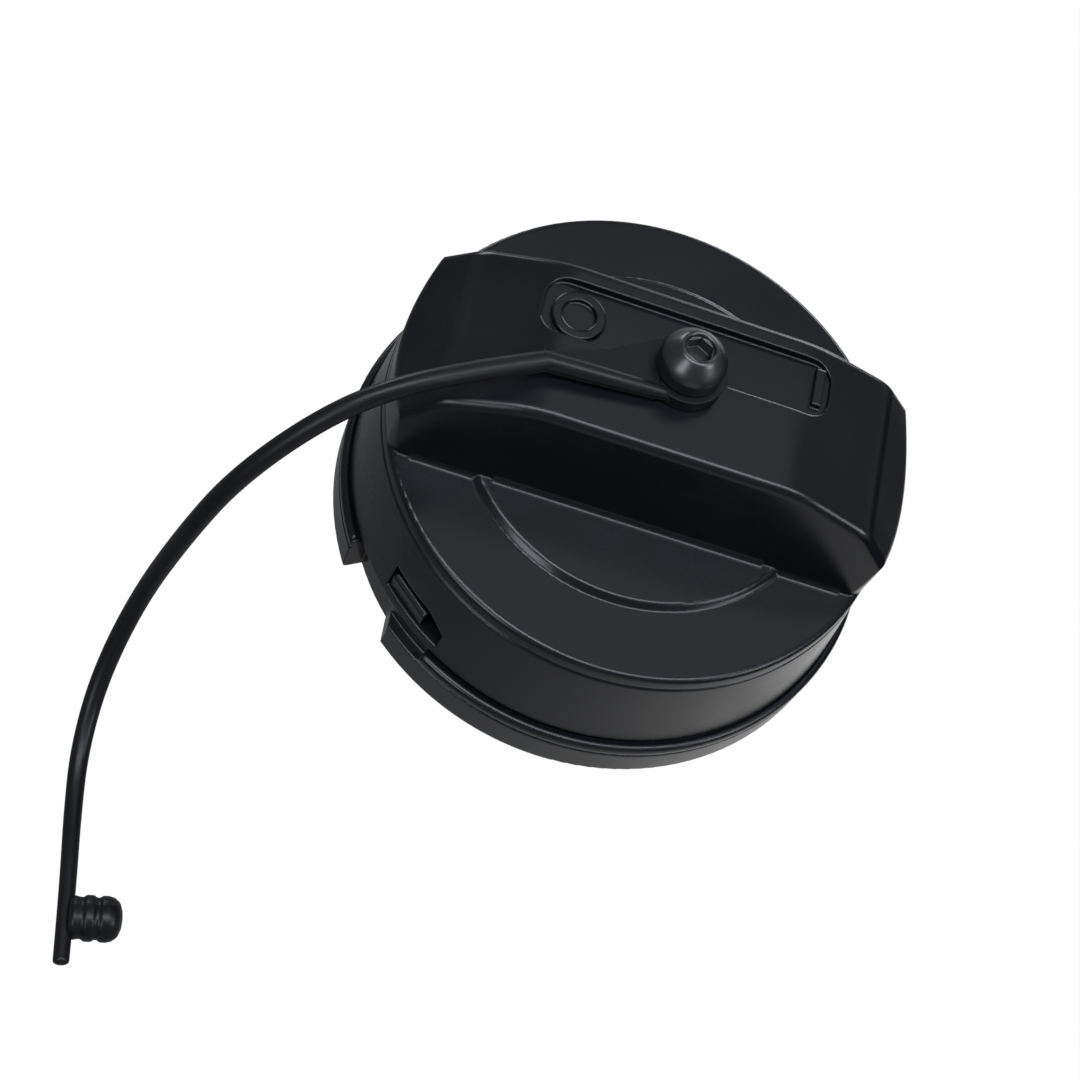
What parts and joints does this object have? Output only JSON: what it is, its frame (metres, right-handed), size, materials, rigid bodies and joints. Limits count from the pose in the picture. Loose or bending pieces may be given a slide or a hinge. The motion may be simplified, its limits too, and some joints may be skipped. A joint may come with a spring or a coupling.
{
  "type": "tethered fuel filler cap",
  "caption": "Round black fuel filler cap with a bar handle, ratchet drive, bayonet plug, pressure and vacuum valves, and a swivelling strap that ends in a snap knob.",
  "frame": {"origin": "centre of the closure plug's lower end, on the cap's axis", "axes": "+Z along the cap's axis towards the handle, X along the handle bar with the tether leaving towards -X, -Y towards the ring's gap"},
  "size_m": [0.1038, 0.1209, 0.0724],
  "materials": {
    "grip_plastic": "fine satin moulded black",
    "tether_plastic": "smooth satin flexible black",
    "stud_plastic": "polished black",
    "plug_plastic": "satin moulded black",
    "valve_plastic": "natural white moulded",
    "seal_rubber": "matt black rubber",
    "spring_steel": "drawn wire",
    "plate_steel": "pressed sheet"
  },
  "bodies": {
    "closure": {"closure_plug": "plug_plastic", "neck_gasket": "seal_rubber", "valve_body": "valve_plastic", "valve_seal": "seal_rubber", "pressure_spring": "spring_steel", "spring_retainer": "valve_plastic", "valve_cover": "plug_plastic"},
    "handle": {"grip": "grip_plastic", "base_ring": "grip_plastic", "ratchet_spring": "spring_steel", "stud_bush": "valve_plastic", "tether_stud": "stud_plastic"},
    "ratchet": {"ratchet_ring": "valve_plastic"},
    "pressure_valve": {"pressure_plate": "plate_steel", "vacuum_spring": "spring_steel"},
    "vacuum_valve": {"vacuum_poppet": "valve_plastic", "stem_clip": "plate_steel"},
    "tether": {"tether_eye": "tether_plastic", "tether_strap": "tether_plastic", "tether_knob": "tether_plastic"}
  },
  "joints": [
    {"name": "handle_turn", "type": "hinge", "parent": "closure", "child": "handle", "pos_m": [0, 0, 0.03], "axis": [0, 0, 1], "range_deg": [-30, 0]},
    {"name": "ratchet_lift", "type": "slide", "parent": "handle", "child": "ratchet", "axis": [0, 0, 1], "range_m": [0, 0.00165], "deforming": ["ratchet_spring"]},
    {"name": "pressure_lift", "type": "slide", "parent": "closure", "child": "pressure_valve", "axis": [0, 0, 1], "range_m": [0, 0.0015], "stiffness_N_per_m": 300, "springref_m": -0.006, "deforming": ["pressure_spring"]},
    {"name": "vacuum_open", "type": "slide", "parent": "pressure_valve", "child": "vacuum_valve", "axis": [0, 0, -1], "range_m": [0, 0.001], "stiffness_N_per_m": 40, "springref_m": -0.002, "deforming": ["vacuum_spring"]},
    {"name": "tether_swivel", "type": "hinge", "parent": "handle", "child": "tether", "pos_m": [0, 0, 0.066], "axis": [0, 0, 1], "continuous": true}
  ],
  "couplings": [
    {"joint": "ratchet_lift", "follows": "handle_turn", "m_per_rad": -0.003091}
  ]
}
